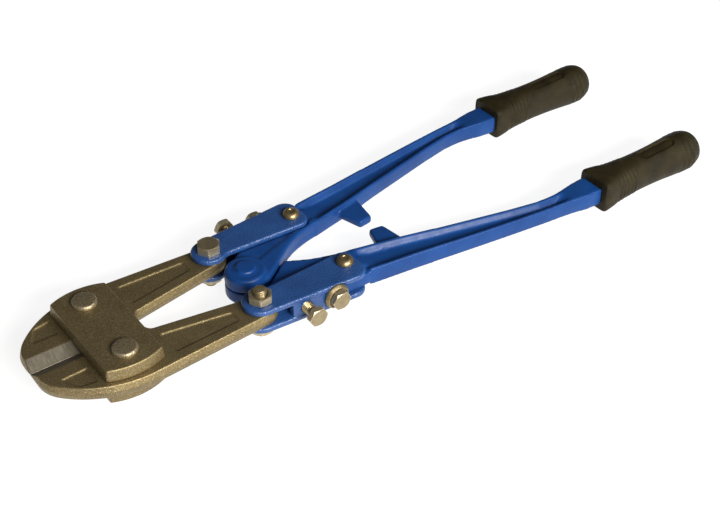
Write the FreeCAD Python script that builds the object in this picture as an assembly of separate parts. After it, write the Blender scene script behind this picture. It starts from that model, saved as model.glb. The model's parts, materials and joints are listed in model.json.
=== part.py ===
import FreeCAD, Part
import math
import os

# Forged, arm-adjusted bolt cutters, 460 mm long, lying flat with the jaws closed.
# X runs along the tool with the jaws at -X and the grips at +X, +Y is the left side.
# Everything is drawn about the tool's mid-plane (z = 0) and lifted by FLOOR at the end,
# so that the lowest point, the end of the left tail bolt, is at z = 0.
# Every piece of the right half is the left piece turned half a turn about X: both halves are
# the same forging, which is why the left handle has the upper lug and the right the lower one.

Vector = FreeCAD.Vector

# ---- driving dimensions, mm ----
TIP_X = -230.0                      # front of the jaws, at the parting line
END_X = 230.0                       # rear end of the grips

JAW_PIVOT = (-184.0, 23.7)          # jaw rivet axis
TAIL = (-100.4, 28.2)               # tail bolt axis, where jaw and strap are hinged
REAR = (-41.4, 28.4)                # rear rivet axis, where strap and handle are hinged
CENTRE = (-92.6, 0.0)               # rivet that hinges the two handles

# ---- thicknesses, all measured from the mid-plane unless they say otherwise ----
JAW_HALF = 4.2
PLATE_THICK = 7.5                   # whole thickness of a jaw plate
STRAP_OUTER = 8.3                   # outer face of the strap plates
STRAP_INNER = 4.4                   # inner face of the strap plates
TONGUE_HALF = 4.1                   # handle tongue held between the strap plates
ARM_HALF = 6.0                      # handle arm behind the strap
ARM_HALF_END = 6.0                  # handle arm at the grip
LUG_TOP = 9.2                       # top of the centre lug
GAP = 0.1                           # air between flat faces that slide
RUNNING = 0.06                      # radial clearance of pins in holes that turn
EDGE = 0.35                         # broken edge on forgings

# ---- fasteners ----
BOLT_RADIUS = 4.0                   # M8 tail bolt
BOLT_FLATS = 13.0
BOLT_HEAD = 5.3
NUT_HEIGHT = 5.0
THREAD_STUB = 3.5                   # thread standing out of the nut
SCREW_RADIUS = 3.5                  # M7 adjusting screw and lock bolt
SCREW_FLATS = 11.0
SCREW_HEAD = 3.9
THREAD_DEPTH = 0.55
THREAD_PITCH = 1.25
JAW_PIN = 6.0                       # shank radii of the rivets
REAR_PIN = 3.6
CENTRE_PIN = 4.5

# ---- jaw ----
JAW_DRAFT = 1.0                     # how far the parting line stands out
BEVEL_WIDTH = 8.0                   # cutting bevel, measured across the jaw face
BEVEL_END = -195.5
OUTER_DISC = (-178.2, -20.4, 62.0)  # sweep of the jaw's outer side
NOSE_RADIUS = 20.0
SHANK_OUT_SLOPE = math.radians(3.24)
RELIEF_START = -187.0               # behind the blade the inner sides draw apart
RELIEF_SLOPE = math.radians(9.0)
HEEL_X = -166.5                     # end of the straight inner side
PANEL_DEPTH = 0.9
FRONT_PANEL = [(-205.2, 28.8, 1.2), (-212.4, 25.2, 3.5), (-218.8, 18.4, 1.2), (-205.2, 18.0, 1.2)]
REAR_PANEL = [(-118.0, 30.6, 1.8), (-157.6, 32.2, 1.8), (-157.6, 17.8, 1.8), (-118.0, 24.6, 1.8)]

# ---- jaw plate ----
PLATE_FRONT = -200.6
PLATE_BACK = -166.2
PLATE_SIDE = (-183.4, 2.9, 40.3)    # arc of the right side; the left side mirrors it
PLATE_DRAFT = 0.8

# ---- strap ----
STRAP_NOSE = 11.0                   # radius round the tail bolt
STRAP_NECK = 6.0                    # hollow behind the nose, on the inner side
STRAP_NECK_ANGLE = math.radians(-56.6)
STRAP_BACK = -33.2
STRAP_IN = 17.7                     # |y| of the inner edge at the back
STRAP_OUT = 43.5                    # |y| of the outer edge at the back
STRAP_FLARE = math.radians(4.2)     # slope of the outer edge
STRAP_EDGE = 1.2
WEB_FRONT = -85.5
WEB_BACK = -57.0
WEB_THICK = 4.6
WEB_INSET = 0.7
ADJUST_X = -76.5
ADJUST_HEAD = 48.9                  # |y| of the underside of the adjusting screw's head
TONGUE_SIDE = 34.6                  # |y| of the tongue face that the adjusting screw bears on
LOCK_X = -57.2
LOCK_POINT = 24.0                   # |y| of the lock bolt's point
WASHER_RADIUS = 8.0
WASHER_THICK = 3.0

# ---- handle ----
LUG_RADIUS = 12.5
OTHER_LUG_ROOM = 3.0                # extra hole radius where the hinge loop is left open
WEB_AIR = 1.1                       # room beside the other handle's lug web
RIDGE_BEND = (-24.6, -43.2)         # centre of the ridge's bend
RIDGE_INNER = 60.0                  # radius of its inner side about that centre
RIDGE_WIDTH = 4.6
RIDGE_TAPER = ((-44.0, 6.0), (-84.0, 2.2))   # (x, half height) where the ridge gets thinner
WEB_HALF = 5.0                      # web that ties the ridge to the lug
FLOOR_HALF = 1.6                    # floor of the arm's channels
CREST = 2.0                         # width of the flat along each edge of the arm
CHANNEL_SLOPE = 2.6
GRIP_X = 137.7                      # front face of the grip's collar
GRIP_Y = 52.7                       # the grip's axis
ARM_STATIONS = [                    # x, inner edge, outer edge, half height, half floor
    (-31.0, 16.6, 40.2, ARM_HALF, TONGUE_HALF),
    (-20.0, 19.1, 41.6, ARM_HALF, FLOOR_HALF),
    (0.0, 23.3, 43.9, 5.9, FLOOR_HALF),
    (25.0, 29.6, 47.5, 5.7, FLOOR_HALF),
    (50.0, 35.4, 50.9, 5.5, FLOOR_HALF),
    (75.0, 41.2, 54.1, 5.4, FLOOR_HALF),
    (95.0, 45.2, 56.4, 5.4, FLOOR_HALF),
    (107.0, 46.0, 57.5, 5.5, FLOOR_HALF),
    (116.0, 45.3, 58.5, 5.7, 5.6),
    (127.0, 43.7, 60.3, 5.9, 5.8),
    (GRIP_X - 0.1, 43.2, 60.6, ARM_HALF_END, ARM_HALF_END - 0.1),
]
TANG_END = 212.0
TANG_HALF_WIDTH = 5.0
TANG_HALF_HEIGHT = 4.0

# ---- grip ----
GRIP_STATIONS = [                   # x, axis y, half width, half height, squareness
    (GRIP_X, 52.4, 11.6, 9.6, 4.4),
    (GRIP_X + 2.5, 52.5, 12.6, 11.2, 4.2),
    (150.0, 52.7, 12.6, 12.2, 3.4),
    (165.0, 52.7, 11.6, 12.0, 2.6),
    (185.0, 52.8, 11.4, 12.2, 2.2),
    (205.0, 53.0, 12.6, 13.4, 2.0),
    (217.0, 53.1, 13.2, 14.0, 2.0),
    (224.5, 53.1, 11.8, 12.4, 2.0),
    (228.5, 53.1, 8.0, 8.4, 2.0),
    (END_X, 53.1, 3.6, 3.6, 2.0),
]

FLOOR = STRAP_OUTER + NUT_HEIGHT + THREAD_STUB
TOUCHING = 1e-3                     # points nearer than this are one point


# ---- outlines ----
def belt(discs, grow, z):
    """Closed wire like a belt round the discs (x, y, r), taken counter-clockwise.

    A negative r is a disc outside the outline, which makes a hollow corner.
    grow moves the whole outline outwards; discs that touch inside each other are allowed.
    """
    count = len(discs)
    directions = []
    for i in range(count):
        x0, y0, r0 = discs[i]
        x1, y1, r1 = discs[(i + 1) % count]
        ratio = (r1 - r0) / math.hypot(x1 - x0, y1 - y0)
        ratio = max(-1.0, min(1.0, ratio))
        directions.append(math.atan2(y1 - y0, x1 - x0) - math.asin(ratio))

    def point(i, angle):
        x, y, r = discs[i]
        return Vector(x + (r + grow) * math.sin(angle), y - (r + grow) * math.cos(angle), z)

    leaves = [point(i, directions[i]) for i in range(count)]
    arrives = [point(i, directions[i - 1]) for i in range(count)]
    for i in range(count):
        after = (i + 1) % count
        if leaves[i].distanceToPoint(arrives[after]) < TOUCHING:
            arrives[after] = leaves[i]

    edges = []
    for i in range(count):
        turn = (directions[i] - directions[i - 1]) % (2 * math.pi)
        if discs[i][2] < 0:
            turn -= 2 * math.pi
        elif turn > 1.9 * math.pi:
            raise ValueError(f"disc {i} makes a hollow corner but its radius is not negative")
        middle = point(i, directions[i - 1] + turn / 2)
        edges.append(Part.Arc(arrives[i], middle, leaves[i]).toShape())
        end = arrives[(i + 1) % count]
        if leaves[i].distanceToPoint(end) > TOUCHING:
            edges.append(Part.LineSegment(leaves[i], end).toShape())
    return Part.Wire(edges)


def layered(discs, levels):
    """Solid whose outline grows by the given amount at each level (z, grow)."""
    return Part.makeLoft([belt(discs, grow, z) for z, grow in levels], True, True)


def rounded_slab(discs, low, high, edge):
    """Flat slab with its long edges rounded."""
    soft = 0.3 * edge
    return layered(discs, [
        (low, -edge), (low + soft, -soft), (low + edge, 0.0),
        (high - edge, 0.0), (high - soft, -soft), (high, -edge),
    ])


def disc_inside(big, radius, x, side):
    """Disc of this radius that touches the big disc from inside, with its centre at x."""
    big_x, big_y, big_r = big
    dy = math.sqrt((big_r - radius) ** 2 - (x - big_x) ** 2)
    return (x, big_y + side * dy, radius)


def prism(points, low, high):
    corners = [Vector(x, y, low) for x, y in points]
    face = Part.Face(Part.makePolygon(corners + corners[:1]))
    return face.extrude(Vector(0, 0, high - low))


def rod(centre, radius, low, high):
    return Part.makeCylinder(radius, high - low, Vector(centre[0], centre[1], low))


def through_hole(centre, radius):
    """Rod that passes right through the tool."""
    return rod(centre, radius, -20, 20)


def turned(profile):
    """Solid of revolution about Z from (radius, z) points that start and end on the axis."""
    points = [Vector(r, 0, z) for r, z in profile]
    face = Part.Face(Part.makePolygon(points + points[:1]))
    return face.revolve(Vector(0, 0, 0), Vector(0, 0, 1), 360)


def moved(shape, x, y, z=0.0):
    result = shape.copy()
    result.translate(Vector(x, y, z))
    return result


# ---- fasteners, drawn along Z ----
def thread_profile(radius, low, high):
    """(radius, z) points of the roots and crests of a thread from low to high."""
    root = radius - THREAD_DEPTH
    turns = int((high - low) / THREAD_PITCH)
    points = []
    for i in range(turns):
        z = low + i * THREAD_PITCH
        points += [(root, z), (radius, z + THREAD_PITCH / 2)]
    return points + [(root, low + turns * THREAD_PITCH)]


def hexagon(flats, low, high):
    """Hexagonal head with its corners chamfered at the upper end."""
    corner = flats / math.sqrt(3)
    angles = [math.radians(60 * i) for i in range(6)]
    points = [(corner * math.cos(angle), corner * math.sin(angle)) for angle in angles]
    reach = corner + 0.2
    face_radius = flats / 2 - 0.3
    drop = (reach - face_radius) * 0.5
    cone = turned([(0, low), (reach, low), (reach, high - drop), (face_radius, high), (0, high)])
    return prism(points, low, high).common(cone)


def tail_bolt():
    """Bolt through the strap ears and the jaw's tail: head up, thread down."""
    thread_top = -STRAP_OUTER - NUT_HEIGHT
    end_radius = BOLT_RADIUS - THREAD_DEPTH - 0.4
    profile = [(0, STRAP_OUTER), (BOLT_RADIUS, STRAP_OUTER), (BOLT_RADIUS, thread_top)]
    profile += list(reversed(thread_profile(BOLT_RADIUS, -FLOOR + 0.5, thread_top)))
    profile += [(end_radius, -FLOOR), (0, -FLOOR)]
    head = hexagon(BOLT_FLATS, STRAP_OUTER, STRAP_OUTER + BOLT_HEAD)
    return moved(turned(profile).fuse(head), *TAIL)


def tail_nut():
    body = hexagon(BOLT_FLATS, 0, NUT_HEIGHT)
    body.rotate(Vector(0, 0, 0), Vector(1, 0, 0), 180)
    hole = rod((0, 0), BOLT_RADIUS + RUNNING, -FLOOR, 0)
    return moved(moved(body, 0, 0, -STRAP_OUTER).cut(hole), *TAIL)


def two_headed(face, head, crown):
    """Rivet with the same head at both ends; head is (radius, height over the face) points."""
    upper = [(r, face + height) for r, height in head]
    lower = [(r, -z) for r, z in reversed(upper)]
    return turned([(0, face + crown)] + upper + lower + [(0, -face - crown)])


def jaw_rivet():
    """Rivet with a flat, bevelled head on each jaw plate."""
    head = [(6.4, 2.5), (7.1, 2.1), (7.6, 1.3), (7.6, 0), (JAW_PIN, 0)]
    return moved(two_headed(JAW_HALF + GAP + PLATE_THICK, head, 2.5), *JAW_PIVOT)


def rear_rivet():
    """Button-head rivet with a dimple, through the strap ears and the tongue."""
    head = [
        (1.6, 3.6), (1.8, 3.9), (3.0, 3.9), (4.1, 3.4), (4.9, 2.5), (5.3, 1.3), (5.3, 0.5),
        (5.0, 0), (REAR_PIN, 0),
    ]
    return moved(two_headed(STRAP_OUTER, head, 3.6), *REAR)


def centre_rivet():
    """Rivet of the two handles: a stepped head, and a wide foot under the lower lug."""
    crown = LUG_TOP + 1.6
    foot_radius = 10.6
    foot_end = -LUG_TOP - 1.4
    profile = [
        (0, crown), (4.6, crown), (5.4, crown - 0.2), (5.8, crown - 0.8), (6.6, crown - 0.9),
        (7.6, crown - 1.1), (8.2, LUG_TOP), (CENTRE_PIN, LUG_TOP),
        (CENTRE_PIN, -LUG_TOP), (foot_radius, -LUG_TOP), (foot_radius, foot_end + 0.6),
        (foot_radius - 0.8, foot_end), (0, foot_end),
    ]
    return moved(turned(profile), *CENTRE)


# ---- jaws and plates ----
def jaw_discs():
    nose = disc_inside(OUTER_DISC, NOSE_RADIUS, TIP_X + JAW_DRAFT + NOSE_RADIUS, 1)
    across = (
        math.sin(SHANK_OUT_SLOPE) * (OUTER_DISC[0] - TAIL[0])
        + math.cos(SHANK_OUT_SLOPE) * (OUTER_DISC[1] - TAIL[1])
    )
    tail_radius = across + OUTER_DISC[2]
    corner = 1.5
    return [
        (TAIL[0], TAIL[1], tail_radius),
        OUTER_DISC,
        nose,
        (TIP_X + JAW_DRAFT + corner, -2.0, corner),
        (HEEL_X - 2.0, -2.0, corner),
        (HEEL_X + 8.2, 5.2, -4.0),
    ]


def jaw_bevel(side):
    """Wedge ground off one face along the cutting edge."""
    start = TIP_X - 2.0
    over = 1.0
    top = JAW_HALF + over
    points = [(0.0, 0.0), (BEVEL_WIDTH * top / JAW_HALF, top), (-over, top), (-over, 0.0)]
    corners = [Vector(start, y, side * z) for y, z in points]
    face = Part.Face(Part.makePolygon(corners + corners[:1]))
    return face.extrude(Vector(BEVEL_END - start, 0, 0))


def panel(discs, side):
    """Shallow forged recess with sloping walls."""
    over = 0.5
    wall = 1.0
    return layered(discs, [
        (side * (JAW_HALF + over), wall * over / PANEL_DEPTH),
        (side * (JAW_HALF - PANEL_DEPTH), -wall),
    ])


def inner_trim():
    """Room inside the blade's edge and inside the relief behind it."""
    front = TIP_X - 5.0
    back = -150.0
    inside = -12.0
    relief = math.tan(RELIEF_SLOPE) * (HEEL_X - RELIEF_START)
    line = [
        (front, 0.0), (RELIEF_START, 0.0), (HEEL_X, relief), (back, relief),
        (back, inside), (front, inside),
    ]
    return prism(line, -JAW_HALF - 1, JAW_HALF + 1)


def jaw():
    half_land = 0.3
    body = layered(jaw_discs(), [
        (-JAW_HALF, -EDGE), (-JAW_HALF + EDGE, 0.0), (-half_land, JAW_DRAFT),
        (half_land, JAW_DRAFT), (JAW_HALF - EDGE, 0.0), (JAW_HALF, -EDGE),
    ]).cut(inner_trim())
    for side in (1, -1):
        for tool in (jaw_bevel(side), panel(FRONT_PANEL, side), panel(REAR_PANEL, side)):
            body = body.cut(tool)
    body = body.cut(through_hole(JAW_PIVOT, JAW_PIN + RUNNING))
    return body.cut(through_hole(TAIL, BOLT_RADIUS + RUNNING))


def jaw_plate():
    """Upper jaw plate: straight front and back, sides bulging round the pivots, slight draft."""
    low = JAW_HALF + GAP
    high = low + PLATE_THICK
    corner = 1.2
    front = PLATE_FRONT + corner
    back = PLATE_BACK - corner
    x, y, r = PLATE_SIDE
    left_side = (x, -y, r)
    discs = [
        disc_inside(left_side, corner, back, 1), left_side, disc_inside(left_side, corner, front, 1),
        disc_inside(PLATE_SIDE, corner, front, -1), PLATE_SIDE, disc_inside(PLATE_SIDE, corner, back, -1),
    ]
    body = layered(discs, [
        (low, PLATE_DRAFT - 0.3), (low + 0.3, PLATE_DRAFT),
        (high - 0.6, 0.0), (high - 0.2, -0.2), (high, -0.6),
    ])
    for side in (1, -1):
        body = body.cut(through_hole((JAW_PIVOT[0], side * JAW_PIVOT[1]), JAW_PIN + RUNNING))
    return body


# ---- strap and its screws ----
def strap_discs():
    reach = STRAP_NOSE + STRAP_NECK
    neck_x = TAIL[0] + reach * math.cos(STRAP_NECK_ANGLE)
    neck_y = TAIL[1] + reach * math.sin(STRAP_NECK_ANGLE)
    inner_corner = 7.0
    outer_corner = 8.5
    return [
        (TAIL[0], TAIL[1], STRAP_NOSE),
        (neck_x, neck_y, -STRAP_NECK),
        (STRAP_BACK - inner_corner, STRAP_IN + inner_corner, inner_corner),
        (STRAP_BACK - outer_corner, STRAP_OUT - outer_corner, outer_corner),
    ]


def web_face(x):
    """|y| of the web's outer face at x."""
    return TAIL[1] + STRAP_NOSE / math.cos(STRAP_FLARE) + (x - TAIL[0]) * math.tan(STRAP_FLARE) - WEB_INSET


def strap():
    upper = rounded_slab(strap_discs(), STRAP_INNER, STRAP_OUTER, STRAP_EDGE)
    lower = rounded_slab(strap_discs(), -STRAP_OUTER, -STRAP_INNER, STRAP_EDGE)
    overlap = 0.5
    web = prism([
        (WEB_FRONT, web_face(WEB_FRONT) - WEB_THICK), (WEB_FRONT, web_face(WEB_FRONT)),
        (WEB_BACK, web_face(WEB_BACK)), (WEB_BACK, web_face(WEB_BACK) - WEB_THICK),
    ], -STRAP_INNER - overlap, STRAP_INNER + overlap)
    seat_radius = WASHER_RADIUS + 0.6
    seat = Part.makeCylinder(seat_radius, 20, Vector(LOCK_X, web_face(LOCK_X), 0), Vector(0, 1, 0))
    body = upper.fuse(lower).fuse(web)
    for tool in (
        through_hole(TAIL, BOLT_RADIUS + RUNNING), through_hole(REAR, REAR_PIN + RUNNING),
        across_hole(ADJUST_X, SCREW_RADIUS + RUNNING), across_hole(LOCK_X, SCREW_RADIUS + RUNNING), seat,
    ):
        body = body.cut(tool)
    return body


def across_hole(x, radius):
    """Hole through the outboard side of the strap."""
    return Part.makeCylinder(radius, 30, Vector(x, 33, 0), Vector(0, 1, 0))


def laid_outboard(shape, x, y):
    """Turn a fastener drawn along +Z so that it points along +Y, with z = 0 at this y."""
    result = shape.copy()
    result.rotate(Vector(0, 0, 0), Vector(1, 0, 0), -90)
    result.translate(Vector(x, y, 0))
    return result


def adjusting_screw():
    """Set screw through the web: its point bears on the tongue, its head stands off."""
    point = TONGUE_SIDE + 0.3
    root = SCREW_RADIUS - THREAD_DEPTH
    profile = [(0, point), (root - 0.9, point), (root, point + 0.9)]
    profile += thread_profile(SCREW_RADIUS, point + 1.0, ADJUST_HEAD - 0.2)
    profile += [(root, ADJUST_HEAD + 0.5), (0, ADJUST_HEAD + 0.5)]
    head = hexagon(SCREW_FLATS, ADJUST_HEAD, ADJUST_HEAD + SCREW_HEAD)
    return laid_outboard(turned(profile).fuse(head), ADJUST_X, 0)


def lock_washer():
    """Heavy flat washer with a bevelled rim."""
    hole = SCREW_RADIUS + RUNNING
    ring = turned([
        (hole, 0), (WASHER_RADIUS, 0), (WASHER_RADIUS, WASHER_THICK / 2),
        (WASHER_RADIUS - 1.3, WASHER_THICK), (hole, WASHER_THICK),
    ])
    return laid_outboard(ring, LOCK_X, web_face(LOCK_X))


def lock_bolt():
    """Bolt through the web into the tongue; it clamps the strap once the tool is adjusted."""
    head_low = web_face(LOCK_X) + WASHER_THICK
    chamfer = 0.7
    shank = turned([
        (0, LOCK_POINT), (SCREW_RADIUS - chamfer, LOCK_POINT), (SCREW_RADIUS, LOCK_POINT + chamfer),
        (SCREW_RADIUS, head_low), (0, head_low),
    ])
    head = hexagon(SCREW_FLATS, head_low, head_low + SCREW_HEAD)
    return laid_outboard(shank.fuse(head), LOCK_X, 0)


# ---- handle ----
def arm_section(x, inner, outer, half, floor_half):
    """I-section of the arm at x: crests at the two edges, a channel above and below."""
    slope = min(CHANNEL_SLOPE, (outer - inner) / 2 - CREST - 0.2)
    bulge = 0.4
    upper = [
        (outer + bulge, 0.0), (outer, half), (outer - CREST, half), (outer - CREST - slope, floor_half),
        (inner + CREST + slope, floor_half), (inner + CREST, half), (inner, half), (inner - bulge, 0.0),
    ]
    lower = [(y, -z) for y, z in reversed(upper[1:-1])]
    points = [Vector(x, y, z) for y, z in upper + lower]
    return Part.makePolygon(points + points[:1])


def arm():
    """Arm from the strap to the grip."""
    return Part.makeLoft([arm_section(*station) for station in ARM_STATIONS], True, True)


def tang(clearance):
    """Bar of the handle inside the grip, or with clearance the socket for it."""
    width = 2 * (TANG_HALF_WIDTH + clearance)
    height = 2 * (TANG_HALF_HEIGHT + clearance)
    start = GRIP_X - 2.0
    corner = Vector(start, GRIP_Y - width / 2, -height / 2)
    return Part.makeBox(TANG_END + clearance - start, width, height, corner)


def bumper():
    """Stub on the inner side of the arm that meets its twin when the handles close."""
    discs = [(5.4, 25.0, 1.2), (-11.0, 25.0, 1.2), (-5.0, 5.8, 1.5), (2.4, 6.7, 1.5)]
    return rounded_slab(discs, -2.7, 2.7, 0.8)


def ridge_discs():
    """Outline of the inboard flange that runs from the arm to the centre lug."""
    return [
        (-85.5, -3.4, 7.5), RIDGE_BEND + (-RIDGE_INNER,), (-30.0, 19.6, 2.6),
        RIDGE_BEND + (RIDGE_INNER + RIDGE_WIDTH,),
    ]


def web_discs():
    """Outline of the web between the tongue, the ridge and the centre lug."""
    return [
        CENTRE + (LUG_RADIUS - 0.5,), RIDGE_BEND + (-RIDGE_INNER,), (-31.5, 20.5, 3.4), (-31.5, 32.0, 3.4),
        (-80.5, 20.0, 3.0),
    ]


def ridge(low, high):
    """Inboard flange carried on from the arm towards the centre lug."""
    return rounded_slab(ridge_discs(), low, high, 1.0)


def lug_web(low, high, edge):
    """Web from the tongue to the centre lug, bounded by the ridge's inner side."""
    return rounded_slab(web_discs(), low, high, edge)


def lug():
    """Centre lug, in the upper half only."""
    return moved(turned([
        (0, GAP), (LUG_RADIUS, GAP), (LUG_RADIUS, LUG_TOP - 1.8), (LUG_RADIUS - 0.5, LUG_TOP - 0.5),
        (LUG_RADIUS - 1.8, LUG_TOP), (0, LUG_TOP),
    ]), *CENTRE)


def tongue():
    """Flat tongue that the strap plates hold; its front part clears the strap's web."""
    front = [
        (-80.6, 31.6, 3.0), (-80.6, 20.6, 3.0), (-58.0, 13.5, 3.0), (-33.0, 20.5, 3.4),
        (-33.0, 31.6, 3.0),
    ]
    rear = [(-50.0, 37.8, 3.0), (-50.0, 24.0, 3.0), (-33.0, 22.0, 3.0), (-33.0, 37.8, 3.0)]
    return rounded_slab(front, -TONGUE_HALF, TONGUE_HALF, 0.4).fuse(
        rounded_slab(rear, -TONGUE_HALF, TONGUE_HALF, 0.4))


def ridge_taper():
    """Wedge cut from the lower side of the ridge, which gets thinner towards the centre."""
    (start_x, start_half), (end_x, end_half) = RIDGE_TAPER
    below = -LUG_TOP - 1
    points = [
        Vector(start_x, -20, -start_half), Vector(end_x, -20, -end_half),
        Vector(end_x - 20, -20, -end_half), Vector(end_x - 20, -20, below), Vector(start_x, -20, below),
    ]
    face = Part.Face(Part.makePolygon(points + points[:1]))
    return face.extrude(Vector(0, 60, 0))


def other_lug_room():
    """Space in the lower half where the other handle's lug, web and ridge turn."""
    depth = LUG_TOP + 1
    room = rod(CENTRE, LUG_RADIUS + OTHER_LUG_ROOM, -depth, GAP)
    for discs in (web_discs(), ridge_discs()):
        taken = layered(discs, [(-GAP, WEB_AIR), (depth, WEB_AIR)])
        taken.rotate(Vector(0, 0, 0), Vector(1, 0, 0), 180)
        room = room.fuse(taken)
    return room


def strap_room(side):
    """Space that the strap plate on this side takes, with a little air round it."""
    air = 0.35
    return layered(strap_discs(), [(side * (STRAP_INNER - 0.15), air), (side * (STRAP_OUTER + 3), air)])


def handle(lug_hole):
    lower_half = lug_web(-WEB_HALF - 0.6, GAP, 2.4).fuse(ridge(-ARM_HALF, 0.0)).cut(ridge_taper())
    lower_half = lower_half.fuse(tongue()).cut(other_lug_room())
    upper_half = ridge(0.0, ARM_HALF).fuse(lug_web(GAP, WEB_HALF, 0.8)).fuse(lug())
    body = lower_half.fuse(upper_half).fuse(arm()).fuse(bumper()).fuse(tang(0.0))
    bolt_room = Part.makeCylinder(SCREW_RADIUS + 0.7, 30, Vector(LOCK_X, 23.2, 0), Vector(0, 1, 0))
    for tool in (
        strap_room(1), strap_room(-1), through_hole(REAR, REAR_PIN + RUNNING),
        through_hole(CENTRE, lug_hole), bolt_room,
    ):
        body = body.cut(tool)
    return body


# ---- grip ----
def grip_section(x, centre_y, half_width, half_height, power):
    """Closed smooth outline across the grip: an ellipse that squares up as power grows."""
    count = 24
    points = []
    for i in range(count):
        angle = 2 * math.pi * i / count
        c = math.cos(angle)
        s = math.sin(angle)
        y = centre_y + half_width * math.copysign(abs(c) ** (2 / power), c)
        z = half_height * math.copysign(abs(s) ** (2 / power), s)
        points.append(Vector(x, y, z))
    curve = Part.BSplineCurve()
    curve.interpolate(points, PeriodicFlag=True)
    return Part.Wire([curve.toShape()])


def grip():
    """Moulded grip: square collar, waist and round bulb."""
    body = Part.makeLoft([grip_section(*station) for station in GRIP_STATIONS], True, False)
    return body.cut(tang(0.1))


# ---- assembly ----
def placed(shape, right):
    """Put a piece in the part's frame; the right piece is the left one turned about X."""
    result = shape.copy()
    if right:
        result.rotate(Vector(0, 0, 0), Vector(1, 0, 0), 180)
    result.translate(Vector(0, 0, FLOOR))
    return result


def pieces():
    plate = jaw_plate()
    yield "jaw_plate_top", placed(plate, False)
    yield "jaw_plate_bottom", placed(plate, True)
    yield "centre_rivet", placed(centre_rivet(), False)
    makers = {
        "jaw": jaw, "jaw_rivet": jaw_rivet, "strap": strap, "tail_bolt": tail_bolt, "tail_nut": tail_nut,
        "rear_rivet": rear_rivet, "adjusting_screw": adjusting_screw, "lock_bolt": lock_bolt,
        "lock_washer": lock_washer, "grip": grip,
    }
    for name, maker in makers.items():
        shape = maker()
        yield name + "_left", placed(shape, False)
        yield name + "_right", placed(shape, True)
    yield "handle_left", placed(handle(CENTRE_PIN + RUNNING), False)
    yield "handle_right", placed(handle(CENTRE_PIN + OTHER_LUG_ROOM), True)


os.makedirs("parts", exist_ok=True)
for node, shape in pieces():
    solid = shape.removeSplitter()
    box = solid.BoundBox
    print(f"{node:24s} solids {len(solid.Solids)} valid {solid.isValid()} volume {solid.Volume:9.1f}"
          f"  size {box.XLength:6.2f} {box.YLength:6.2f} {box.ZLength:6.2f}"
          f"  low {box.XMin:8.2f} {box.YMin:7.2f} {box.ZMin:6.2f}")
    solid.exportStep(f"parts/{node}.step")
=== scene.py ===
import json
import math

import bmesh
import bpy
import numpy as np
from mathutils import Matrix, Vector

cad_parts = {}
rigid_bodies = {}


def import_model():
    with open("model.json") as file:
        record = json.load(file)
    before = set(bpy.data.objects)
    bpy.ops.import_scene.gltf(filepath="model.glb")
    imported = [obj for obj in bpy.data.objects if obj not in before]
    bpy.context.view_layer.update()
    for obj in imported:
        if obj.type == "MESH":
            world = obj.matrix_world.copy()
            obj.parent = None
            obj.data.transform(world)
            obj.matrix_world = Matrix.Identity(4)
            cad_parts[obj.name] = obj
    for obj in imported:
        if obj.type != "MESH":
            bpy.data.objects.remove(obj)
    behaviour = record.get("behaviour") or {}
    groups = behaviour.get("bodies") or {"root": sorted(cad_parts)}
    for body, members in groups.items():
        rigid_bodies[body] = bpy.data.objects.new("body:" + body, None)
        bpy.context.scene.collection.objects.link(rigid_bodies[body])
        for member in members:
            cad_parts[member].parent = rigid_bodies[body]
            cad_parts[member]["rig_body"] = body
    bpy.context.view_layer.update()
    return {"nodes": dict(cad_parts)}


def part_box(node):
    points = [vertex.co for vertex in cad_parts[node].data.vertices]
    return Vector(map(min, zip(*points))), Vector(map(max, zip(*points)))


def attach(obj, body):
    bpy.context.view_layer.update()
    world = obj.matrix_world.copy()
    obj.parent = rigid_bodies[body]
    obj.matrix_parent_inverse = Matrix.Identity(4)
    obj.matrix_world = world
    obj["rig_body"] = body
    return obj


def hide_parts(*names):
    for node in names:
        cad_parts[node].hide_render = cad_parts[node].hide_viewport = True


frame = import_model()

# Bolt cutters, lying flat and closed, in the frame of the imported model, which is in metres.
# The forged and moulded pieces replace their CAD nodes with finer meshes of the same shape, and
# the turned and hexagonal fasteners are rebuilt round the same axes, drawn in millimetres.

MM = 0.001
SIDES = ("left", "right")
TOP_AND_BOTTOM = ("top", "bottom")
X, Y, Z = range(3)                 # axes of a box's corners
MID_Z = (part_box("jaw_left")[0].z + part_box("jaw_left")[1].z) / 2

# ---- camera: direction from the object, then distance and aim in metres, lens in mm ----
CAMERA_AZIMUTH = math.radians(-36.717)
CAMERA_ELEVATION = math.radians(38.311)
CAMERA_ROLL = math.radians(0.754)
CAMERA_DISTANCE = 0.7997
CAMERA_TARGET = Vector((-0.02404, -0.01989, MID_Z + 0.0009))
CAMERA_LENS = 66.42
CAMERA_SENSOR = 36.0
CAMERA_NEAR = 0.01

# ---- studio ----
FLOOR_HALF = 6.0
FLOOR_GLOW = 0.87
FLOOR_GLOW_COLOUR = (1.0, 1.0, 1.0, 1.0)
WORLD_COLOUR = (0.95, 0.97, 1.0, 1.0)
WORLD_STRENGTH = 0.10
KEY_COLOUR = (1.0, 0.98, 0.95)

# ---- forgings: voxel in mm, rounds of relaxing, and the share pushed back out ----
HANDLE_FINISH = (0.50, 18, 0.0)
STRAP_FINISH = (0.40, 4, 0.25)
JAW_FINISH = (0.40, 3, 0.3)
PLATE_FINISH = (0.40, 2, 0.3)
BEVEL_PAST_PLATE = 6.0             # how far the cutting bevel runs on behind the plates' front, mm
BEVEL_WIDTH = 8.3                  # mm, from the cutting edge
BEVEL_LEAN = (0.33, 0.62)          # sideways part of the bevel's normal
RELAX_STEP = 0.5                   # share of the way to the neighbours' mean, in one round

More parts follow.
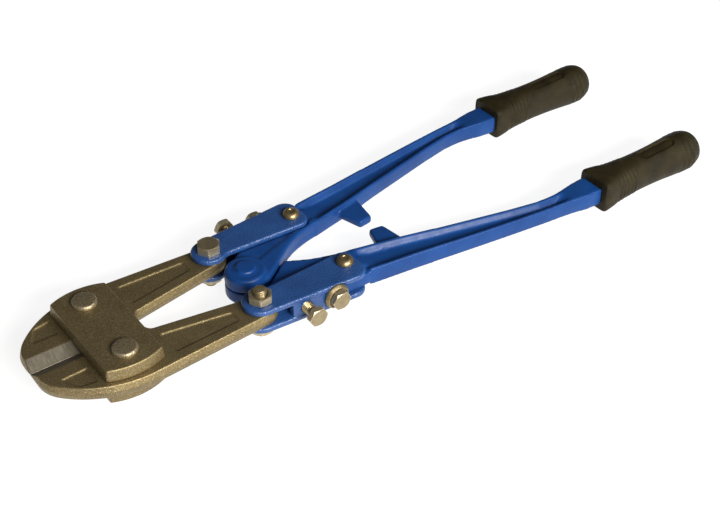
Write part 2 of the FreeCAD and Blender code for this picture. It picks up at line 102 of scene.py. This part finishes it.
# ---- fasteners, mm ----
AROUND = 96                        # points round every turned or hexagonal piece
FASTENER_SHARP = 28                # bend in degrees from which an edge is shaded sharp
CENTRE_SHARP = 50
BOLT_RADIUS = 4.0
SCREW_RADIUS = 3.5
HOLE_AIR = 0.05                    # round a bolt in its nut or washer
FACE_AIR = 0.03                    # between the lock bolt's head and its washer
THREAD_PITCH = 1.25
THREAD_DEPTH = 0.62
THREAD_FLANK = 1.35                # steepness of the thread's flanks
THREAD_RINGS = 10                  # rings for one turn
LEAD_IN = 0.8                      # taper at the thread's free end
LEAD_IN_SLOPE = 0.9
CORNER_BLUNT = 0.12                # taken off a hexagon's corners
FACE_INSET = 0.35                  # from a hexagon's flats in to the chamfer's circle
CHAMFER_SLOPE = 0.62
HOLE_CHAMFER = (0.7, 0.6)          # across and along
SHANK_PAST_NUT = 1.5               # plain shank that goes on inside the nut
SHANK_IN_HEAD = 0.1                # how far a screw's shank runs on inside its head
TAIL_SHANK_IN_HEAD = 1.0
LOCK_BOLT_LEAD = 0.7               # chamfer on the lock bolt's end
BUTTON_HEAD = [                    # rear rivet: radius, height from the head's top
    (1.3, -0.55), (1.7, -0.45), (2.0, -0.05), (2.5, 0.0), (3.1, -0.1), (3.9, -0.5),
    (4.6, -1.2), (5.0, -1.9), (5.25, -2.6), (5.3, -3.2), (5.1, -3.7), (4.9, -3.9),
]
FLAT_HEAD = [                      # jaw rivet, in the same way
    (5.6, 0.0), (6.3, -0.08), (6.8, -0.35), (7.15, -0.8), (7.4, -1.4), (7.5, -2.0), (7.45, -2.5),
]
CENTRE_FOOT = [(10.0, 0.0), (10.5, 0.5), (10.6, 1.4), (4.5, 1.5)]     # height from the foot's bottom
CENTRE_HEAD = [                    # height from the head's top
    (4.5, -1.7), (8.4, -1.65), (7.8, -1.45), (7.0, -1.25), (6.3, -1.1), (6.0, -0.8),
    (5.8, -0.35), (5.4, -0.08), (4.8, 0.0),
]

# ---- grips, mm along from the collar's front ----
GRIP_PROFILE = [                   # along, half width, half height, squareness
    (0.0, 11.6, 9.9, 8.0),
    (0.5, 12.2, 10.6, 8.0),
    (1.8, 12.6, 11.1, 7.0),
    (4.5, 12.7, 11.4, 5.4),
    (9.0, 12.5, 11.7, 4.0),
    (15.0, 12.0, 11.8, 3.0),
    (27.0, 11.5, 11.9, 2.5),
    (40.0, 11.3, 12.0, 2.3),
    (55.0, 11.7, 12.6, 2.15),
    (67.0, 12.6, 13.4, 2.05),
    (76.0, 13.0, 13.9, 2.0),
    (82.0, 12.9, 13.7, 2.0),
    (87.0, 11.5, 12.0, 2.0),
    (90.2, 8.6, 8.9, 2.0),
    (91.9, 4.4, 4.5, 2.0),
    (92.3, 0.4, 0.4, 2.0),
]
GRIP_SHARP = 35                    # bend in degrees from which an edge is shaded sharp
GRIP_RINGS = 230
GRIP_AROUND = 112
GRIP_END_DENSITY = 0.055           # draws the rings closer together towards both ends
COLLAR_LIP = 0.9                   # flat rim round the collar's open front
RIBBED = (12.0, 88.0)
RIB_ROWS = ((15.0, 5, 3.4), (73.0, 3, 4.2))     # first rib, how many, pitch
RIB_HEIGHT = 0.55
RIB_HALF_WIDTH = 0.85
RIB_FADE = 2.5                     # how fast a rib dies away from the flank
FLANK_HOLLOW = 0.25
RECESS_START = 44.0
RECESS_END = 66.0
RECESS_RADIUS = 4.2
RECESS_DEPTH = 1.5
RECESS_EDGE = 0.20
RECESS_LIMIT = 0.6                 # keeps the recess to the top and bottom faces


# ---- small helpers ----
def new_piece(name, data):
    piece = bpy.data.objects.new(name, data)
    bpy.context.scene.collection.objects.link(piece)
    return piece


def skin(builder, loops):
    """Join successive rings of points with faces, and return the rings' vertices."""
    rings = [[builder.verts.new(point) for point in loop] for loop in loops]
    for first, second in zip(rings, rings[1:]):
        join(builder, first, second)
    return rings


def join(builder, first, second):
    for k in range(len(first)):
        after = (k + 1) % len(first)
        builder.faces.new((first[k], first[after], second[after], second[k]))


def cap(builder, rings):
    """Close both ends of a skin, and return the face at its start."""
    builder.faces.new(rings[-1])
    return builder.faces.new(list(reversed(rings[0])))


def mesh_from(builder, name):
    """Mesh of what the builder holds; the builder is used up."""
    mesh = bpy.data.meshes.new(name)
    builder.to_mesh(mesh)
    builder.free()
    return mesh


def shade_smooth(mesh, degrees):
    """Smooth shading, kept sharp across edges that bend more than this."""
    mesh.shade_smooth()
    mesh.set_sharp_from_angle(angle=math.radians(degrees))


def apply_modifiers(piece):
    """Make the result of the piece's modifiers its mesh."""
    bpy.context.view_layer.update()
    depsgraph = bpy.context.evaluated_depsgraph_get()
    mesh = bpy.data.meshes.new_from_object(piece.evaluated_get(depsgraph))
    piece.modifiers.clear()
    piece.data = mesh


def finish_piece(piece, node, materials):
    """Put a piece in place of its CAD node, on the same body, with its materials."""
    piece.data.materials.clear()
    for material in materials:
        piece.data.materials.append(material)
    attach(piece, frame["nodes"][node]["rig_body"])
    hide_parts(node)
    return piece


def flip_of(name):
    """-1 for what is on the right side, where the left side's shape is turned over about X."""
    return -1 if name.endswith("right") else 1


def direction(azimuth, elevation):
    """Unit vector from the object towards this azimuth and elevation, in radians."""
    return Vector((
        math.sin(azimuth) * math.cos(elevation),
        -math.cos(azimuth) * math.cos(elevation),
        math.sin(elevation),
    ))


# ---- materials ----
class Shader:
    """A principled material, with short calls for the nodes that these surfaces need."""

    def __init__(self, name, **constants):
        self.material = bpy.data.materials.new(name)
        self.material.use_nodes = True
        self.tree = self.material.node_tree
        self.tree.nodes.clear()
        self.surface = self.add("ShaderNodeBsdfPrincipled")
        output = self.add("ShaderNodeOutputMaterial")
        self.tree.links.new(self.surface.outputs["BSDF"], output.inputs["Surface"])
        self.place = self.add("ShaderNodeTexCoord").outputs["Object"]
        for socket, value in constants.items():
            self.surface.inputs[socket.replace("_", " ")].default_value = value

    def add(self, kind, **inputs):
        node = self.tree.nodes.new(kind)
        for name, value in inputs.items():
            self.put(node.inputs[name.replace("_", " ")], value)
        return node

    def put(self, socket, value):
        if isinstance(value, bpy.types.NodeSocket):
            self.tree.links.new(value, socket)
        else:
            socket.default_value = value

    def stretched(self, scale):
        mapping = self.add("ShaderNodeMapping", Vector=self.place)
        mapping.inputs["Scale"].default_value = scale
        return mapping.outputs["Vector"]

    def noise(self, per_metre, detail=4.0, rough=0.6, stretch=(1, 1, 1)):
        place = self.stretched(stretch)
        node = self.add("ShaderNodeTexNoise", Vector=place, Scale=per_metre, Detail=detail, Roughness=rough)
        return node.outputs["Fac"]

    def pits(self, per_metre):
        node = self.add("ShaderNodeTexVoronoi", Vector=self.place, Scale=per_metre)
        return node.outputs["Distance"]

    def spread(self, value, source, target):
        """Map one (low, high) range onto another, and hold the end values outside it."""
        node = self.add("ShaderNodeMapRange", Value=value)
        node.inputs["From Min"].default_value, node.inputs["From Max"].default_value = source
        node.inputs["To Min"].default_value, node.inputs["To Max"].default_value = target
        return node.outputs["Result"]

    def blend(self, value, source, dark, light):
        """Colour that goes from dark to light over the value's (low, high) range."""
        node = self.add("ShaderNodeValToRGB", Fac=value)
        for element, position, colour in zip(node.color_ramp.elements, source, (dark, light)):
            element.position = position
            element.color = (*colour, 1.0)
        return node.outputs["Color"]

    def mix(self, factor, under, over):
        """Cover the colour underneath with another; the numbers are the node's colour sockets."""
        node = self.tree.nodes.new("ShaderNodeMix")
        node.data_type = "RGBA"
        self.put(node.inputs[0], factor)
        self.put(node.inputs[6], under)
        node.inputs[7].default_value = (*over, 1.0)
        return node.outputs[2]

    def total(self, first, second, share):
        """The first value and this share of the second."""
        node = self.tree.nodes.new("ShaderNodeMath")
        node.operation = "MULTIPLY_ADD"
        self.put(node.inputs[0], second)
        node.inputs[1].default_value = share
        self.put(node.inputs[2], first)
        return node.outputs[0]

    def edges(self, source):
        """0 on flat ground, 1 on raised edges, over this range of pointiness."""
        node = self.tree.nodes.new("ShaderNodeNewGeometry")
        return self.spread(node.outputs["Pointiness"], source, (0.0, 1.0))

    def bump(self, height, depth, strength):
        """Relief of this depth in metres."""
        node = self.add("ShaderNodeBump", Height=height, Strength=strength, Distance=depth)
        self.put(self.surface.inputs["Normal"], node.outputs["Normal"])

    def colour(self, value):
        self.put(self.surface.inputs["Base Color"], value)

    def roughness(self, value):
        self.put(self.surface.inputs["Roughness"], value)


def forged_steel():
    """Blackened, faintly oily forging skin: olive brown and grainy, with bright flecks."""
    s = Shader("forged_steel", Metallic=0.75)
    blotches = s.noise(60, detail=3)
    grain = s.noise(1900, detail=4, rough=0.6)
    lumps = s.noise(520, detail=3)
    skin_colour = s.blend(blotches, (0.3, 0.7), dark=(0.140, 0.101, 0.041), light=(0.190, 0.141, 0.060))
    flecks = s.spread(grain, (0.52, 0.75), (0.0, 0.7))
    s.colour(s.mix(flecks, under=skin_colour, over=(0.66, 0.57, 0.38)))
    s.roughness(s.spread(grain, (0.2, 0.8), (0.50, 0.34)))
    s.bump(s.total(grain, lumps, share=0.9), depth=0.26 * MM, strength=0.8)
    return s.material


def ground_steel():
    """Cutting bevel: bare grey steel with fine grinding lines across the edge."""
    s = Shader("ground_steel", Metallic=0.8)
    lines = s.noise(900, detail=3, rough=0.5, stretch=(4, 0.25, 0.25))
    s.colour(s.blend(lines, (0.3, 0.7), dark=(0.16, 0.14, 0.100), light=(0.24, 0.21, 0.155)))
    s.roughness(s.spread(lines, (0.3, 0.7), (0.42, 0.60)))
    s.bump(lines, depth=0.06 * MM, strength=0.5)
    return s.material


def blue_paint(name, dark, light, roughness, gloss, grain_size, grain_depth):
    """Enamel over a forging: some gloss, with the forging's grain showing through it."""
    s = Shader(name, Metallic=0.0, Specular_IOR_Level=gloss)
    clouds = s.noise(45, detail=3)
    grain = s.noise(grain_size, detail=3, rough=0.5)
    s.colour(s.blend(clouds, (0.3, 0.7), dark, light))
    s.roughness(s.spread(grain, (0.25, 0.75), (roughness - 0.06, roughness + 0.08)))
    s.bump(grain, grain_depth, strength=0.6)
    return s.material


def plated_steel():
    """Yellow-zinc hardware, dulled by handling."""
    s = Shader("plated_steel", Metallic=0.85)
    stain = s.noise(220, detail=4)
    scratches = s.noise(900, detail=4, stretch=(1, 1, 3))
    plating = s.blend(stain, (0.3, 0.7), dark=(0.17, 0.122, 0.055), light=(0.29, 0.225, 0.118))
    s.colour(s.mix(s.edges((0.53, 0.62)), under=plating, over=(0.62, 0.55, 0.38)))
    s.roughness(s.spread(scratches, (0.25, 0.75), (0.30, 0.48)))
    s.bump(s.total(scratches, s.pits(520), share=-0.6), depth=0.10 * MM, strength=0.45)
    return s.material


def rivet_steel():
    """Peened rivet heads: dark steel with small hammer dents."""
    s = Shader("rivet_steel", Metallic=0.75)
    grain = s.noise(900, detail=5)
    dents = s.spread(s.pits(420), (0.0, 0.35), (0.0, 1.0))
    steel = s.blend(grain, (0.35, 0.75), dark=(0.15, 0.115, 0.06), light=(0.34, 0.28, 0.17))
    s.colour(s.mix(s.edges((0.52, 0.6)), under=steel, over=(0.60, 0.52, 0.38)))
    s.roughness(s.spread(grain, (0.2, 0.8), (0.34, 0.52)))
    s.bump(s.total(grain, dents, share=1.4), depth=0.22 * MM, strength=0.6)
    return s.material


def grip_rubber():
    """Brown-black moulded rubber with a fine matt texture."""
    s = Shader("grip_rubber", Metallic=0.0, Specular_IOR_Level=0.14)
    mottling = s.noise(90, detail=3)
    texture = s.noise(2200, detail=3, rough=0.55)
    s.colour(s.blend(mottling, (0.3, 0.7), dark=(0.010, 0.0073, 0.0020), light=(0.022, 0.0165, 0.0052)))
    s.roughness(s.spread(texture, (0.3, 0.7), (0.42, 0.60)))
    s.bump(s.total(texture, mottling, share=0.4), depth=0.45 * MM, strength=0.9)
    return s.material


def floor_paper():
    """Pale paper that glows a little, so that it stays even to its edges."""
    s = Shader("floor_paper", Roughness=0.9, Emission_Color=FLOOR_GLOW_COLOUR, Emission_Strength=FLOOR_GLOW)
    s.colour(s.blend(s.noise(8), (0.0, 1.0), dark=(0.19, 0.19, 0.19), light=(0.22, 0.22, 0.22)))
    return s.material


FORGED = forged_steel()
GROUND = ground_steel()
PAINT_ARM = blue_paint(
    "blue_enamel", dark=(0.004, 0.029, 0.122), light=(0.006, 0.041, 0.162),
    roughness=0.36, gloss=0.20, grain_size=240, grain_depth=0.10 * MM)
# Straps: the same blue enamel as the handles, drawn lighter; the extra lightness is painted sheen for their
# lit tops
PAINT_STRAP_PAINTED_SHEEN = blue_paint(
    "blue_enamel_strap_painted_sheen", dark=(0.010, 0.038, 0.130), light=(0.015, 0.056, 0.185),
    roughness=0.28, gloss=0.52, grain_size=800, grain_depth=0.80 * MM)
PLATED = plated_steel()
RIVET = rivet_steel()
RUBBER = grip_rubber()


# ---- forged pieces: the CAD shape with every edge rounded off ----
def neighbours(mesh):
    """Index pairs of the vertices joined by an edge, both ways, and each vertex's count."""
    pairs = np.empty(len(mesh.edges) * 2, np.int64)
    mesh.edges.foreach_get("vertices", pairs)
    pairs = pairs.reshape(-1, 2)
    both = np.concatenate([pairs, pairs[:, ::-1]])
    counts = np.bincount(both[:, 0], minlength=len(mesh.vertices))
    return both, np.maximum(counts, 1)[:, None]


def relax(mesh, rounds, push_out):
    """Pull every vertex towards its neighbours' mean, then back by push_out of the new distance."""
    both, counts = neighbours(mesh)
    points = np.empty(len(mesh.vertices) * 3, np.float64)
    mesh.vertices.foreach_get("co", points)
    points = points.reshape(-1, 3)
    for _ in range(rounds):
        for step in (RELAX_STEP, -push_out):
            sums = np.zeros_like(points)
            for axis in range(3):
                weights = points[both[:, 1], axis]
                sums[:, axis] = np.bincount(both[:, 0], weights=weights, minlength=len(points))
            points += step * (sums / counts - points)
    mesh.vertices.foreach_set("co", points.ravel())
    mesh.update()


def forging(node, materials, finish):
    """Copy of a CAD node, remeshed evenly and relaxed so that its edges are rounded."""
    voxel, rounds, push_out = finish
    piece = new_piece(node + "_forging", frame["nodes"][node].data.copy())
    remesh = piece.modifiers.new("even", "REMESH")
    remesh.mode = "VOXEL"
    remesh.voxel_size = voxel * MM
    remesh.adaptivity = 0.0
    apply_modifiers(piece)
    relax(piece.data, rounds, push_out)
    piece.data.shade_smooth()
    return finish_piece(piece, node, materials)


def mark_bevel(mesh):
    """Give the ground cutting bevel its own material, as far as just behind the plates' front."""
    bevel_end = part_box("jaw_plate_top")[0].x + BEVEL_PAST_PLATE * MM
    least, most = BEVEL_LEAN
    for face in mesh.polygons:
        in_reach = face.center.x < bevel_end and abs(face.center.y) < BEVEL_WIDTH * MM
        if in_reach and least < abs(face.normal.y) < most:
            face.material_index = 1


def build_forgings():
    for side in SIDES:
        forging("handle_" + side, [PAINT_ARM], HANDLE_FINISH)
        forging("strap_" + side, [PAINT_STRAP_PAINTED_SHEEN], STRAP_FINISH)
        jaw = forging("jaw_" + side, [FORGED, GROUND], JAW_FINISH)
        mark_bevel(jaw.data)
    for place in TOP_AND_BOTTOM:
        forging("jaw_plate_" + place, [FORGED], PLATE_FINISH)


# ---- turned and hexagonal pieces, drawn along Z in mm ----
def circle(radius, height):
    step = 2 * math.pi / AROUND
    return [(radius * math.cos(k * step), radius * math.sin(k * step), height) for k in range(AROUND)]


def turned(rows):
    """Rings of a turned piece, from (radius, height) rows."""
    return [circle(radius, height) for radius, height in rows]


def upside_down(loops):
    """Mirror image in the mid-plane."""
    return [[(x, y, -z) for x, y, z in loop] for loop in loops]


def hexagon_reach(flats, angle):
    """Distance from the axis to a hexagon's side, with the corners slightly blunted."""
    from_corner = abs((angle + math.pi / 6) % (math.pi / 3) - math.pi / 6)
    side = flats / 2 / math.cos(math.pi / 6 - from_corner)
    return min(side, flats / math.sqrt(3) - CORNER_BLUNT)


def hexagon_ring(flats, height, cut):
    """Outline of a hexagon whose corners a cone takes down (cut 1), up (-1) or leaves (0)."""
    ring = []
    for k in range(AROUND):
        angle = 2 * math.pi * k / AROUND
        reach = hexagon_reach(flats, angle)
        past_face = max(reach - (flats / 2 - FACE_INSET), 0.0)
        drop = cut * past_face * CHAMFER_SLOPE
        ring.append((reach * math.cos(angle), reach * math.sin(angle), height - drop))
    return ring


def hexagon_head(flats, low, high):
    """Rings of a bolt head, chamfered on its top only."""
    face = flats / 2 - FACE_INSET
    return [
        circle(face, low), hexagon_ring(flats, low, 0), hexagon_ring(flats, high, 1), circle(face, high),
    ]


def hexagon_nut(flats, low, high, hole):
    """Rings of a nut, chamfered at both ends, round a hole with a countersink on top."""
    face = flats / 2 - FACE_INSET
    across, along = HOLE_CHAMFER
    return [
        circle(face, low), hexagon_ring(flats, low, -1), hexagon_ring(flats, high, 1), circle(face, high),
        circle(hole + across, high), circle(hole, high - along), circle(hole, low),
    ]


def thread(radius, low, high):
    """Rings of a threaded rod whose one start climbs as a helix, tapering out at the high end."""
    steps = int((high - low) / THREAD_PITCH * THREAD_RINGS)
    loops = []
    for i in range(steps + 1):
        height = low + (high - low) * i / steps
        taper = max(0.0, LEAD_IN - (high - height)) * LEAD_IN_SLOPE
        loop = []
        for k in range(AROUND):
            angle = 2 * math.pi * k / AROUND
            phase = (height / THREAD_PITCH - k / AROUND) % 1.0
            groove = THREAD_DEPTH * min(1.0, THREAD_FLANK * abs(2 * phase - 1))
            reach = radius - max(groove, taper)
            loop.append((reach * math.cos(angle), reach * math.sin(angle), height))
        loops.append(loop)
    return loops


def two_heads(head, top):
    """Rings of a rivet with the same head at both ends."""
    upper = [(radius, top + drop) for radius, drop in head]
    lower = [(radius, -height) for radius, height in reversed(upper)]
    return turned(lower[::-1] + upper[::-1])


def skinned_mesh(name, skins, place, sharp_degrees, ring_shaped=False):
    """Mesh of skins drawn in mm, put in its place in metres; a ring-shaped one runs back into itself."""
    builder = bmesh.new()
    for loops in skins:
        rings = skin(builder, loops)
        if ring_shaped:
            join(builder, rings[-1], rings[0])
        else:
            cap(builder, rings)
    bmesh.ops.transform(builder, matrix=place @ Matrix.Scale(MM, 4), verts=builder.verts)
    bmesh.ops.recalc_face_normals(builder, faces=builder.faces)
    mesh = mesh_from(builder, name)
    shade_smooth(mesh, sharp_degrees)
    return mesh


def fastener(node, place, skins, material=PLATED, ring_shaped=False):
    """Piece made for the left side; on the right side it is turned over about X."""
    flip = flip_of(node)
    over = Matrix.Diagonal((1, flip, flip, 1))
    to_middle = Matrix.Translation((0, 0, MID_Z))
    mesh = skinned_mesh(node + "_turned", skins, to_middle @ over @ place, FASTENER_SHARP, ring_shaped)
    finish_piece(new_piece(node + "_turned", mesh), node, [material])


def extent(node, axis, origin=0.0):
    """Where a node starts and ends along an axis, in mm from the origin."""
    low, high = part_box(node)
    return (low[axis] - origin) / MM, (high[axis] - origin) / MM


def width(node, axis):
    """Size of a node along an axis, in mm."""
    low, high = extent(node, axis)
    return high - low


def upright(node):
    """Place of a piece whose axis is vertical: at the middle of a left-hand node's box."""
    low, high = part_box(node)
    middle = (low + high) / 2
    return Matrix.Translation((middle.x, middle.y, 0))


def outboard(node):
    """Place of a piece whose axis points outboard, at a left-hand node's middle along the tool."""
    low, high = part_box(node)
    z_to_outboard = Matrix(((1, 0, 0), (0, 0, 1), (0, -1, 0))).to_4x4()
    return Matrix.Translation(((low.x + high.x) / 2, 0, 0)) @ z_to_outboard


def tail_bolt(side):
    """Head on top of the strap, plain shank through it, and the thread out of the nut below."""
    low, high = extent("tail_bolt_left", Z, MID_Z)
    nut_low, nut_high = extent("tail_nut_left", Z, MID_Z)
    strap_face = -nut_high
    shank_end = nut_low + SHANK_PAST_NUT
    head = hexagon_head(width("tail_nut_left", Y), strap_face, high)
    shank = turned([(BOLT_RADIUS, shank_end), (BOLT_RADIUS, strap_face + TAIL_SHANK_IN_HEAD)])
    stub = upside_down(thread(BOLT_RADIUS, -shank_end, -low))
    fastener("tail_bolt_" + side, upright("tail_nut_left"), [head, shank, stub])


def tail_nut(side):
    low, high = extent("tail_nut_left", Z, MID_Z)
    nut = hexagon_nut(width("tail_nut_left", Y), -high, -low, BOLT_RADIUS + HOLE_AIR)
    fastener("tail_nut_" + side, upright("tail_nut_left"), [upside_down(nut)], ring_shaped=True)


def lock_head_height():
    """Height of the lock bolt's head; the adjusting screw's is the same."""
    return extent("lock_bolt_left", Y)[1] - extent("lock_washer_left", Y)[1]


def adjusting_screw(side):
    low, high = extent("adjusting_screw_left", Y)
    head_low = high - lock_head_height()
    head = hexagon_head(width("lock_bolt_left", Z), head_low, high)
    stem = thread(SCREW_RADIUS, low, head_low + SHANK_IN_HEAD)
    fastener("adjusting_screw_" + side, outboard("adjusting_screw_left"), [head, stem])


def lock_bolt(side):
    low, high = extent("lock_bolt_left", Y)
    washer_face = extent("lock_washer_left", Y)[1]
    head = hexagon_head(width("lock_bolt_left", Z), washer_face + FACE_AIR, high)
    shank = turned([
        (SCREW_RADIUS - LOCK_BOLT_LEAD, low), (SCREW_RADIUS, low + LOCK_BOLT_LEAD),
        (SCREW_RADIUS, washer_face + SHANK_IN_HEAD),
    ])
    fastener("lock_bolt_" + side, outboard("lock_washer_left"), [head, shank])


def lock_washer(side):
    """Heavy washer with a rolled rim round a sunk ring."""
    low, high = extent("lock_washer_left", Y)
    rim = width("lock_washer_left", X) / 2
    hole = SCREW_RADIUS + HOLE_AIR
    ring = turned([
        (hole, low), (rim - 0.2, low), (rim, low + 0.3), (rim, high - 1.5),
        (rim - 0.2, high - 1.2), (rim - 1.1, high - 0.1), (rim - 1.35, high),
        (rim - 1.6, high - 0.15), (rim - 1.9, high - 0.8), (rim - 2.4, high - 0.8),
        (rim - 2.6, high), (hole, high),
    ])
    fastener("lock_washer_" + side, outboard("lock_washer_left"), [ring], ring_shaped=True)


def rivet(kind, side, head, material):
    left = kind + "_left"
    loops = two_heads(head, top=extent(left, Z, MID_Z)[1])
    fastener(kind + "_" + side, upright(left), [loops], material)


def build_fasteners():
    for side in SIDES:
        tail_bolt(side)
        tail_nut(side)
        adjusting_screw(side)
        lock_bolt(side)
        lock_washer(side)
        rivet("rear_rivet", side, BUTTON_HEAD, PLATED)
        rivet("jaw_rivet", side, FLAT_HEAD, RIVET)


def centre_rivet():
    """Rivet of the two handles: a stepped, painted head over a wide foot."""
    low, high = extent("centre_rivet", Z, MID_Z)
    rows = [(radius, low + rise) for radius, rise in CENTRE_FOOT]
    rows += [(radius, high + drop) for radius, drop in CENTRE_HEAD]
    place = Matrix.Translation((0, 0, MID_Z)) @ upright("centre_rivet")
    mesh = skinned_mesh("centre_rivet_turned", [turned(rows)], place, CENTRE_SHARP)
    finish_piece(new_piece("centre_rivet_turned", mesh), "centre_rivet", [PAINT_ARM])


# ---- grips ----
def smooth_between(rows, t):
    """Values of a smooth curve through the rows, at distance t along their first column."""
    last = len(rows) - 1
    i = max(k for k in range(last) if rows[k][0] <= t)
    before, start, end, after = rows[max(i - 1, 0)], rows[i], rows[i + 1], rows[min(i + 2, last)]
    span = end[0] - start[0]
    u = (t - start[0]) / span
    values = []
    for column in range(1, len(start)):
        slope_start = (end[column] - before[column]) / (end[0] - before[0]) * span
        slope_end = (after[column] - start[column]) / (after[0] - start[0]) * span
        from_start = start[column] * (2 * u**3 - 3 * u**2 + 1) + slope_start * (u**3 - 2 * u**2 + u)
        from_end = end[column] * (3 * u**2 - 2 * u**3) + slope_end * (u**3 - u**2)
        values.append(from_start + from_end)
    return values


def rib_height(t, angle):
    """Raised ribs across the grip's flanks: one row behind the collar and one at the bulb."""
    height = 0.0
    for first, count, pitch in RIB_ROWS:
        for k in range(count):
            height += RIB_HEIGHT * math.exp(-(((t - first - k * pitch) / RIB_HALF_WIDTH) ** 2))
    return height * abs(math.cos(angle)) ** RIB_FADE


def recess_depth(t, across):
    """Pill-shaped thumb recess on the top and bottom; across is the distance from its centre line."""
    beyond = max(RECESS_START - t, 0.0, t - RECESS_END)
    distance = math.hypot(beyond, across)
    return RECESS_DEPTH / (1.0 + math.exp((distance - RECESS_RADIUS) / RECESS_EDGE))


def grip_point(t, angle):
    """Where the grip's skin is at this distance along it: sideways and up from its axis, in mm."""
    half_width, half_height, squareness = smooth_between(GRIP_PROFILE, t)
    c = math.cos(angle)
    s = math.sin(angle)
    sideways = half_width * math.copysign(abs(c) ** (2 / squareness), c)
    swell = 1.0
    if RIBBED[0] < t < RIBBED[1]:
        swell += (rib_height(t, angle) - FLANK_HOLLOW * abs(c)) / half_width
    sink = 0.0
    if abs(s) > RECESS_LIMIT:
        sink = recess_depth(t, sideways) * s**2
    up = max(half_height * abs(s) ** (2 / squareness) * swell - sink, 0.0)
    return sideways * swell, math.copysign(up, s)


def grip_loops(side):
    """Rings of points along a grip, in place in metres."""
    low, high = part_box("grip_" + side)
    centre_y = (low.y + high.y) / 2
    length = (high.x - low.x) / MM
    flip = flip_of(side)
    loops = []
    for i in range(GRIP_RINGS + 1):
        share = i / GRIP_RINGS
        t = length * (share - GRIP_END_DENSITY * math.sin(2 * math.pi * share))
        loop = []
        for k in range(GRIP_AROUND):
            sideways, up = grip_point(t, 2 * math.pi * k / GRIP_AROUND)
            loop.append((low.x + t * MM, centre_y + flip * sideways * MM, MID_Z + flip * up * MM))
        loops.append(loop)
    return loops


def grip(side):
    """Moulded grip, with a flat lip round the arm at its collar."""
    node = "grip_" + side
    builder = bmesh.new()
    front = cap(builder, skin(builder, grip_loops(side)))
    bmesh.ops.inset_region(builder, faces=[front], thickness=COLLAR_LIP * MM, depth=0.0)
    bmesh.ops.recalc_face_normals(builder, faces=builder.faces)
    mesh = mesh_from(builder, node + "_moulding")
    shade_smooth(mesh, GRIP_SHARP)
    finish_piece(new_piece(node + "_moulding", mesh), node, [RUBBER])


# ---- studio ----
def floor():
    builder = bmesh.new()
    bmesh.ops.create_grid(builder, x_segments=8, y_segments=8, size=FLOOR_HALF)
    piece = new_piece("floor", mesh_from(builder, "floor"))
    piece.data.materials.append(floor_paper())


def camera():
    away = direction(CAMERA_AZIMUTH, CAMERA_ELEVATION)
    level = Vector((0, 0, 1)).cross(away).normalized()
    raised = away.cross(level)
    right = math.cos(CAMERA_ROLL) * level + math.sin(CAMERA_ROLL) * raised
    up = math.cos(CAMERA_ROLL) * raised - math.sin(CAMERA_ROLL) * level
    data = bpy.data.cameras.new("camera")
    data.lens = CAMERA_LENS
    data.sensor_width = CAMERA_SENSOR
    data.clip_start = CAMERA_NEAR
    piece = new_piece("camera", data)
    turn = Matrix((right, up, away)).transposed()
    piece.matrix_world = Matrix.Translation(CAMERA_TARGET + away * CAMERA_DISTANCE) @ turn.to_4x4()
    bpy.context.scene.camera = piece


def softbox(name, azimuth, elevation, distance, width, height, power, colour=(1, 1, 1)):
    """Area light seen from the object in this direction in degrees, aimed at it; sizes in metres."""
    away = direction(math.radians(azimuth), math.radians(elevation))
    data = bpy.data.lights.new(name, "AREA")
    data.shape = "RECTANGLE"
    data.size = width
    data.size_y = height
    data.energy = power
    data.color = colour
    piece = new_piece(name, data)
    piece.location = away * distance
    piece.rotation_euler = away.to_track_quat("Z", "Y").to_euler()


def world_light():
    world = bpy.data.worlds.new("studio")
    world.use_nodes = True
    background = world.node_tree.nodes["Background"]
    background.inputs["Color"].default_value = WORLD_COLOUR
    background.inputs["Strength"].default_value = WORLD_STRENGTH
    bpy.context.scene.world = world


camera()
floor()
world_light()
softbox("key", azimuth=-4, elevation=29, distance=1.3, width=0.9, height=0.36, power=38, colour=KEY_COLOUR)
softbox("edge_light", azimuth=40, elevation=45, distance=1.5, width=0.6, height=0.25, power=5)
build_forgings()
build_fasteners()
centre_rivet()
for side in SIDES:
    grip(side)
bpy.context.scene.view_settings.view_transform = "Standard"
